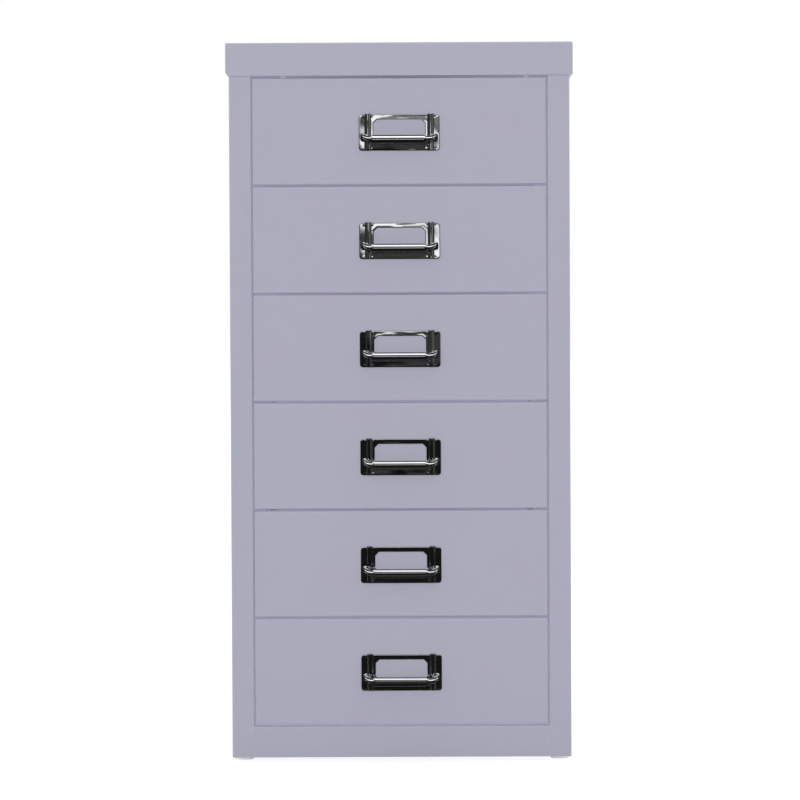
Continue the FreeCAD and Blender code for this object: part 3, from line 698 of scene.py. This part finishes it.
    def surface(self, number: int) -> tuple[np.ndarray, list[list[int]]]:
        """Work out the whole plate: a front grid, a back grid, and the walls between their edges.

        The front stands at the gauge, plus the bead, the warp, the sway and the marks, less a
        quarter circle at the edges. The bead runs out at its two ends along a quarter ellipse, and
        its back is hollow. The back dips to a sliver at the edges, and the sheet is nowhere thinner
        than its thinnest.

        Args:
            number: The drawer's number.

        Returns:
            The points, with the plate's lower edge at zero, and the faces.
        """
        across, up, top, start, end = self.places()
        rows, columns = up.shape
        gap = np.minimum(up, top - up)
        run_out = np.sqrt(1 - np.clip(1 - gap / self.bead_end, 0, 1) ** 2)
        inset = self.inset(across, up, top)
        fade = np.clip(inset / self.warp_fade, 0, 1)
        drop = self.edge - np.sqrt(self.edge ** 2 - np.clip(self.edge - inset, 0, self.edge) ** 2)
        bead = self.bow(across, self.bead_half, self.bead_rise) * run_out
        front = (self.gauge + bead + self.sway(across, up, number) - drop
                 + (self.waves(across, up, number) + self.marks(across, up)) * fade)
        inner = self.bow(across, self.bead_half - self.gauge / 2, self.bead_rise)
        hollow = inner * run_out * self.hollow_share
        back = np.clip(hollow - self.hollow_slack, self.sliver, None)
        back = back * np.clip(inset / self.back_edge, self.sliver, 1)
        back = np.minimum(back, front - self.thinnest)
        points = np.concatenate([
            np.stack([across, -depth, up], axis=2).reshape(-1, 3) for depth in (front, back)])

        inside = np.abs(self.lines()[0])
        open_column = (inside[:-1] + inside[1:]) / 2 < self.window_half
        keep = np.ones((rows - 1, columns - 1), dtype=bool)
        keep[start:end, open_column] = False
        sheet = grid_faces(rows, columns)[keep.ravel()]
        number_of = np.arange(rows * columns).reshape(rows, columns)
        first, last = np.flatnonzero(open_column)[[0, -1]] + (0, 1)
        hole = slice(first, last + 1)
        tall = slice(start, end + 1)
        rims = [
            number_of[0], number_of[:, -1], number_of[-1, ::-1], number_of[::-1, 0],
            number_of[start, hole][::-1], number_of[tall, first], number_of[end, hole],
            number_of[tall, last][::-1]]
        behind = rows * columns
        walls = [np.stack([rim[:-1], rim[:-1] + behind, rim[1:] + behind, rim[1:]], axis=1)
                 for rim in rims]
        faces = np.concatenate([sheet, sheet[:, ::-1] + behind, *walls])
        used = np.unique(faces)
        renumber = np.zeros(len(points), dtype=int)
        renumber[used] = np.arange(len(used))
        return points[used], renumber[faces].tolist()

    def build(self, number: int) -> bpy.types.Object:
        """Build one drawer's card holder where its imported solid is.

        Args:
            number: The drawer's number.

        Returns:
            The piece.
        """
        node = "drawer_%d_card_holder" % number
        low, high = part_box(node)
        points, faces = self.surface(number)
        points = points + np.array([(low.x + high.x) / 2, high.y, low.z]) / MM
        piece = make_piece("bright_card_holder_%d" % number, points, faces)
        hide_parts(node)
        return piece


@dataclass
class PullBar:
    """A bent chrome bar, flattened in its middle, whose legs end in two studs."""

    stud_half: float = 29.4
    radius: float = 2.4
    tall: float = 3.7
    deep: float = 1.9
    drop: float = 1.2
    shrug: float = 1.7
    lead: float = 0.45
    leg: float = 3.5
    root: float = 3.3
    flat_left: float = 22.4
    flat_right: float = 20.0
    level_run: float = 3.0
    fine_run: float = 4.0
    fine_steps: int = 20
    coarse_steps: int = 24
    stud_steps: int = 8
    leg_steps: int = 8
    bend_steps: int = 32
    behind: float = 3.0
    end_share: float = 0.8
    around: int = 72

    def path(self, front: float, tail: float) -> tuple[np.ndarray, np.ndarray]:
        """Work out one half of the bar's middle line, from the stud's end to the middle.

        It is a stud straight forwards, a leg that rises a little as it comes forward, a quarter
        circle that sinks by half a cosine, and a straight run to the middle, which sinks the last
        of the way where the bar grows flat.

        Args:
            front: The middle line's place at the front of the bar.
            tail: The stud's end, behind the face.

        Returns:
            The points, and the direction at each.
        """
        bend = -front - self.root - self.leg
        turn = np.linspace(0, math.pi / 2, self.bend_steps + 1)[1:]
        straight = self.stud_half - bend
        fine = (0, self.fine_run, self.fine_steps)
        run = steps(fine, (self.fine_run, straight, self.coarse_steps))[1:]
        start = -self.root - self.leg
        stud, leg = (tail, -self.root, self.stud_steps), (-self.root, start, self.leg_steps)
        back = np.concatenate([
            steps(stud, leg), start - bend * np.sin(turn), np.full(len(run), front)])
        aside = np.concatenate([
            np.full(self.stud_steps + self.leg_steps + 1, self.stud_half),
            self.stud_half - bend * (1 - np.cos(turn)), straight - run])
        climb = np.linspace(0, 1, self.leg_steps + 1)[1:]
        fall = np.clip(run / self.level_run, 0, 1)
        foot = self.lead - self.drop
        level = np.concatenate([
            np.zeros(self.stud_steps + 1), self.shrug * climb * climb * (3 - 2 * climb),
            self.shrug + (foot - self.shrug) * (1 - np.cos(2 * turn)) / 2,
            foot - self.lead * fall * fall * (3 - 2 * fall)])
        points = np.stack([aside, back, level], axis=1)
        heading = np.gradient(points, axis=0)
        heading[-1] = (-1.0, 0.0, 0.0)
        heading /= np.linalg.norm(heading, axis=1)[:, None]
        return points, heading

    def surface(self, front: float, tail: float) -> tuple[np.ndarray, list[list[int]]]:
        """Carry the section along the whole middle line.

        The section is an ellipse whose two half sizes run from the flattened ones to the round one,
        which they reach where the bends start, and it is set square to the line. The press has
        caught the bar a little left of its middle. The ends are chamfered and closed.

        Args:
            front: The middle line's place at the front of the bar.
            tail: The stud's end, behind the face.

        Returns:
            The points, with the studs' level at zero, and the faces.
        """
        points, heading = self.path(front, tail)
        mirror = np.array([-1.0, 1.0, 1.0])
        whole = np.concatenate([points, (points * mirror)[-2::-1]])
        along = np.concatenate([heading, (heading * np.array([1.0, -1.0, -1.0]))[-2::-1]])
        flat = np.where(whole[:, 0] < 0, self.flat_left, self.flat_right)
        bend_start = self.stud_half + front + self.root + self.leg
        share = np.clip((np.abs(whole[:, 0]) - flat) / (bend_start - flat), 0, 1)
        share = share * share * (3 - 2 * share)
        upward = np.array([0.0, 0.0, 1.0])
        above = upward - (along @ upward)[:, None] * along
        above /= np.linalg.norm(above, axis=1)[:, None]
        beside = np.cross(along, above)
        tall = self.tall + (self.radius - self.tall) * share
        deep = self.deep + (self.radius - self.deep) * share
        chamfer = np.ones(len(whole))
        chamfer[[0, -1]] = self.end_share
        angle = np.linspace(0, 2 * math.pi, self.around, endpoint=False)
        rings = whole[:, None, :] + (
            (chamfer * tall)[:, None, None] * np.cos(angle)[None, :, None] * above[:, None, :]
            + (chamfer * deep)[:, None, None] * np.sin(angle)[None, :, None] * beside[:, None, :])
        faces = grid_faces(len(whole), self.around, closed=True).tolist()
        last = (len(whole) - 1) * self.around
        faces.append(list(range(self.around))[::-1])
        faces.append(list(range(last, last + self.around)))
        return rings.reshape(-1, 3), faces

    def build(self, number: int) -> bpy.types.Object:
        """Build one drawer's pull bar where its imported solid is.

        Args:
            number: The drawer's number.

        Returns:
            The piece.
        """
        node = "drawer_%d_pull_bar" % number
        low, high = (np.array(corner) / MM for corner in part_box(node))
        face = high[1] - self.behind
        points, faces = self.surface(low[1] + self.radius - face, high[1] - face)
        place = np.array([(low[0] + high[0]) / 2, face, (low[2] + high[2]) / 2 + self.drop])
        piece = make_piece("bright_pull_bar_%d" % number, points + place, faces)
        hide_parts(node)
        return piece


@dataclass
class Drawer:
    """One drawer: its painted front and tray, its bright parts, push nuts and glide pads."""

    number: int

    def dress(self, finishes: dict[Slot, bpy.types.Material]) -> None:
        """Build the drawer's bright parts and give each piece its finish.

        Args:
            finishes: The material of each slot.
        """
        body = "drawer_%d" % self.number
        for maker in (CardHolder(), PullBar()):
            piece = maker.build(self.number)
            piece.data.materials.append(finishes[Slot.CHROME])
            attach(piece, body)
            log.info("built %s with %d faces", piece.name, len(piece.data.polygons))


@dataclass
class Carcass:
    """The cabinet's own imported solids, and those of the drawers that are kept as they are."""

    def dress(self, finishes: dict[Slot, bpy.types.Material]) -> None:
        """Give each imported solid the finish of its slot.

        Args:
            finishes: The material of each slot.
        """
        slots = {part["node"]: Slot(part["material_slot"]) for part in frame["record"]["subparts"]}
        for name, node in frame["nodes"].items():
            node.data.materials.clear()
            node.data.materials.append(finishes[slots[name]])
            log.info("finished %s in %s", name, slots[name].value)


@dataclass
class Viewpoint:
    """Where the picture is taken from: far in front of the middle, a little over half height."""

    focal_share: float = 4.033
    across: float = 10.0
    away: float = 2829.7
    height: float = 358.8
    yaw: float = 0.2238
    pitch: float = -1.3353
    roll: float = -0.2649
    sensor: float = 36.0
    clip_end: float = 60.0

    def build(self) -> bpy.types.Object:
        """Make the camera.

        Its view is turned by yaw about the upright, tipped by pitch, and rolled about its own axis.

        Returns:
            The camera.
        """
        lens = bpy.data.cameras.new("long_lens")
        lens.sensor_width = self.sensor
        lens.lens = self.focal_share * self.sensor
        lens.clip_end = self.clip_end
        camera = bpy.data.objects.new("camera", lens)
        bpy.context.scene.collection.objects.link(camera)
        yaw, pitch, roll = (math.radians(angle) for angle in (self.yaw, self.pitch, self.roll))
        level = math.cos(pitch)
        ahead = Vector((-math.sin(yaw) * level, math.cos(yaw) * level, math.sin(pitch)))
        right = Vector((math.cos(yaw), math.sin(yaw), 0.0))
        above = right.cross(ahead)
        turned = right * math.cos(roll) + above * math.sin(roll)
        upright = above * math.cos(roll) - right * math.sin(roll)
        pose = Matrix((turned, upright, -ahead)).transposed().to_4x4()
        pose.translation = Vector((self.across, -self.away, self.height)) * MM
        camera.matrix_world = pose
        bpy.context.scene.camera = camera
        return camera


@dataclass
class Card:
    """A flat card or flag of the studio that only reflections see.

    Its first two corners are one edge. The glow falls off smoothly towards the edges over the given
    shares of its width and its height.
    """

    AROUND: ClassVar[tuple[tuple[int, int], ...]] = ((0, 0), (1, 0), (1, 1), (0, 1))

    name: str
    corners: tuple[Place, ...]
    glow: float
    fade: Span = (0.0, 0.0)

    @classmethod
    def facing(cls, name: str, across: Span, away: float, up: Span, glow: float,
               fade: Span = (0.0, 0.0)) -> "Card":
        """Lay out an upright card that faces the cabinet's front.

        Args:
            name: The card's name.
            across: Where it starts and ends from left to right.
            away: Where it stands, from front to back.
            up: Where it starts and ends in height.
            glow: How bright it is.
            fade: The shares of its width and its height over which it falls off.

        Returns:
            The card.
        """
        corners = tuple((across[first], away, up[second]) for first, second in cls.AROUND)
        return cls(name, corners, glow, fade)

    @classmethod
    def beside(cls, name: str, across: float, away: Span, up: Span, glow: float,
               fade: Span = (0.0, 0.0)) -> "Card":
        """Lay out an upright card at one side of the room.

        Args:
            name: The card's name.
            across: Where it stands from left to right.
            away: Where it starts and ends, from front to back.
            up: Where it starts and ends in height.
            glow: How bright it is.
            fade: The shares of its width and its height over which it falls off.

        Returns:
            The card.
        """
        corners = tuple((across, away[first], up[second]) for first, second in cls.AROUND)
        return cls(name, corners, glow, fade)

    @classmethod
    def lying(cls, name: str, across: Span, away: Span, up: float, glow: float,
              fade: Span = (0.0, 0.0)) -> "Card":
        """Lay out a level card.

        Args:
            name: The card's name.
            across: Where it starts and ends from left to right.
            away: Where it starts and ends, from front to back.
            up: Its height.
            glow: How bright it is.
            fade: The shares of its width and its depth over which it falls off.

        Returns:
            The card.
        """
        corners = tuple((across[first], away[second], up) for first, second in cls.AROUND)
        return cls(name, corners, glow, fade)

    def falloff(self, graph: Graph) -> Socket:
        """Work out how bright the card is from its edges inwards.

        Args:
            graph: The card's nodes.

        Returns:
            The glow at each place.
        """
        glow = self.glow
        across = graph.add("SeparateXYZ", {0: graph.add("TexCoord").outputs["UV"]}).outputs
        for axis, share in enumerate(self.fade):
            if share:
                from_edge = graph.maths("PINGPONG", across[axis], 0.5, 0.5)
                ramp = {0: from_edge, 1: 0.0, 2: share, 3: 0.0, 4: 1.0}
                rise = graph.add("MapRange", ramp, interpolation_type="SMOOTHSTEP")
                glow = graph.maths("MULTIPLY", rise.outputs[0], glow)
        return glow

    def build(self) -> bpy.types.Object:
        """Make the card.

        Returns:
            The card, hidden from all but reflections.
        """
        mesh = bpy.data.meshes.new(self.name)
        places = [[value * MM for value in corner] for corner in self.corners]
        mesh.from_pydata(places, [], [(0, 1, 2, 3)])
        layout = mesh.uv_layers.new(name="layout")
        layout.data.foreach_set("uv", [0.0, 0.0, 1.0, 0.0, 1.0, 1.0, 0.0, 1.0])
        card = bpy.data.objects.new(self.name, mesh)
        bpy.context.scene.collection.objects.link(card)
        material = bpy.data.materials.new(self.name)
        material.use_nodes = True
        graph = Graph(material.node_tree)
        light = graph.add("Emission", {"Color": WHITE, "Strength": self.falloff(graph)})
        graph.add("OutputMaterial", {"Surface": light.outputs[0]})
        mesh.materials.append(material)
        card.visible_camera = False
        card.visible_diffuse = False
        card.visible_transmission = False
        card.visible_volume_scatter = False
        card.visible_shadow = False
        return card


@dataclass(frozen=True)
class Lamp:
    """One far soft lamp, which lights the whole height evenly and isn't seen in the chrome.

    Turn is degrees round to the right of the cabinet's front, lift is degrees over the floor, and
    spread is how many degrees across the source looks.
    """

    name: str
    turn: float
    lift: float
    strength: float
    spread: float = 16.0
    distance: float = 4.0

    def build(self) -> None:
        """Hang the lamp, turned to the middle of the floor."""
        lamp = bpy.data.lights.new(self.name, "SUN")
        lamp.energy = self.strength
        lamp.angle = math.radians(self.spread)
        holder = bpy.data.objects.new(self.name, lamp)
        up, side = math.radians(self.lift), math.radians(self.turn)
        level = math.cos(up)
        source = Vector((math.sin(side) * level, -math.cos(side) * level, math.sin(up)))
        holder.rotation_euler = source.to_track_quat("Z", "Y").to_euler()
        holder.location = source * self.distance
        holder.visible_glossy = False
        bpy.context.scene.collection.objects.link(holder)


@dataclass
class Studio:
    """A white floor in a bright room, five soft lamps, and the flags and cards for the chrome.

    The room's walls are places in millimetres: far and near in front of the cabinet, back behind
    it, low and top in height. The softbox starts on the far wall at the height of the step and ends
    on the ceiling at the lip.
    """

    ambient: float = 0.49
    key_strength: float = 1.62
    flank_strength: float = 1.30
    top_strength: float = 1.05
    floor_glow: float = 0.82
    floor_albedo: float = 0.46
    floor_shade: float = 0.3
    floor_half: float = 9.0
    floor_back: float = 30.0
    dark: float = 0.010
    far: float = -3600.0
    near: float = -186.0
    back: float = 600.0
    left: float = -5000.0
    right: float = 2700.0
    low: float = 2.0
    step: float = 2080.0
    top: float = 3200.0
    lip: float = -1700.0

    def seen_directly(self, graph: Graph) -> Socket:
        """Tell the rays that look at the background from those that only carry light.

        Args:
            graph: The nodes to add to.

        Returns:
            One for a camera, mirror or see-through ray, and otherwise zero.
        """
        path = graph.add("LightPath").outputs
        both = graph.maths("MAXIMUM", path["Is Camera Ray"], path["Is Glossy Ray"])
        return graph.maths("MAXIMUM", both, path["Is Transmission Ray"])

    def build_world(self) -> None:
        """Make a world that looks white and lights the scene at a plain level."""
        world = bpy.data.worlds.new("white_room")
        bpy.context.scene.world = world
        world.use_nodes = True
        graph = Graph(world.node_tree)
        light = graph.add("Background", {"Color": WHITE, "Strength": self.ambient}).outputs[0]
        white = graph.add("Background", {"Color": WHITE, "Strength": 1.0}).outputs[0]
        mix = graph.add("MixShader", {0: self.seen_directly(graph), 1: light, 2: white})
        graph.add("OutputWorld", {"Surface": mix.outputs[0]})

    def build_floor(self) -> None:
        """Make a white floor that keeps the cabinet's shadow."""
        mesh = bpy.data.meshes.new("floor")
        half, back = self.floor_half, self.floor_back
        places = [(-half, -half, 0), (half, -half, 0), (half, back, 0), (-half, back, 0)]
        mesh.from_pydata(places, [], [(0, 1, 2, 3)])
        floor = bpy.data.objects.new("floor", mesh)
        bpy.context.scene.collection.objects.link(floor)
        material = bpy.data.materials.new("white_floor")
        material.use_nodes = True
        graph = Graph(material.node_tree)
        plain = graph.add("BsdfDiffuse", {"Color": (self.floor_albedo,) * 3 + (1.0,)}).outputs[0]
        soft = graph.add("BsdfDiffuse", {"Color": (self.floor_shade,) * 3 + (1.0,)}).outputs[0]
        glow = graph.add("Emission", {"Color": WHITE, "Strength": self.floor_glow}).outputs[0]
        seen = graph.add("AddShader", {0: soft, 1: glow}).outputs[0]
        mix = graph.add("MixShader", {0: self.seen_directly(graph), 1: plain, 2: seen})
        graph.add("OutputMaterial", {"Surface": mix.outputs[0]})
        mesh.materials.append(material)

    def lamps(self) -> list[Lamp]:
        """Set out the lamps: beside the camera, at both flanks, behind the back, and over the lid.

        Returns:
            The lamps.
        """
        return [
            Lamp("front_lamp", -4.0, 7.0, self.key_strength),
            Lamp("left_lamp", -100.0, 12.0, self.flank_strength),
            Lamp("right_lamp", 100.0, 12.0, self.flank_strength),
            Lamp("back_lamp", 180.0, 8.0, self.flank_strength),
            Lamp("top_lamp", 0.0, 90.0, self.top_strength, 12.0)]

    def flags(self) -> list[Card]:
        """Set out the dark flags that close the room's front, its sides, its ceiling and its floor.

        Returns:
            The flags.
        """
        span, depth, wall = (self.left, self.right), (self.far, self.back), (self.low, self.top)
        return [
            Card.facing("flag_front", span, self.far, (self.low, self.step), self.dark),
            Card.beside("flag_left", self.left, depth, wall, 0.04),
            Card.beside("flag_right", self.right, depth, wall, 0.06),
            Card.lying("flag_above", span, (self.lip, self.back), self.top, self.dark),
            Card.lying("mat", span, (self.far, self.near), self.low, self.dark),
            Card.facing("haze", span, self.far + 20.0, (290.0, self.step), 0.05, (0.1, 0.04))]

    def lights(self) -> list[Card]:
        """Set out the lit cards.

        The softbox slopes from the front flag to the ceiling, the two bands hang at the sides, and
        the smaller cards are what the upper handles mirror.

        Returns:
            The cards.
        """
        band = (1500.0, self.top)
        step, lip = (self.far, self.step), (self.lip, self.top)
        return [
            Card("softbox", ((self.left, *step), (self.right, *step), (self.right, *lip),
                             (self.left, *lip)), 1.6, (0.06, 0.10)),
            Card.beside("left_band", -2700.0, (-2000.0, self.back), band, 1.2, (0.1, 0.15)),
            Card.beside("right_band", 2690.0, (-2440.0, self.back), band, 1.2, (0.1, 0.15)),
            Card.lying("table_top", (-900.0, 900.0), (-600.0, -330.0), 4.0, 0.07, (0.1, 0.3)),
            Card.facing("white_card", (-300.0, 300.0), -2900.0, (560.0, 750.0), 1.3, (0.1, 0.25)),
            Card.facing("grey_card", (-300.0, 300.0), -2920.0, (700.0, 940.0), 0.25, (0.1, 0.4)),
            Card.beside("side_card", 2680.0, (-2300.0, -1500.0), (250.0, 1000.0), 0.5, (0.2, 0.2))]

    def build(self) -> None:
        """Set up the whole studio."""
        self.build_world()
        self.build_floor()
        for item in (*self.lamps(), *self.flags(), *self.lights()):
            item.build()


def main() -> None:
    """Build the pieces in order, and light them."""
    logging.basicConfig(level=logging.INFO, format="%(name)s: %(message)s")
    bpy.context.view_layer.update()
    bpy.context.scene.view_settings.view_transform = "Standard"
    finishes = {
        Slot.PAINT: PowderCoat("powder_coat").build(), Slot.CHROME: Chrome("chrome_plate").build(),
        Slot.ZINC: Zinc("zinc_plate").build(), Slot.NYLON: Nylon("natural_nylon").build()}
    Carcass().dress(finishes)
    for number in DRAWERS:
        Drawer(number).dress(finishes)
    Studio().build()
    Viewpoint().build()


if __name__ == "__main__":
    main()
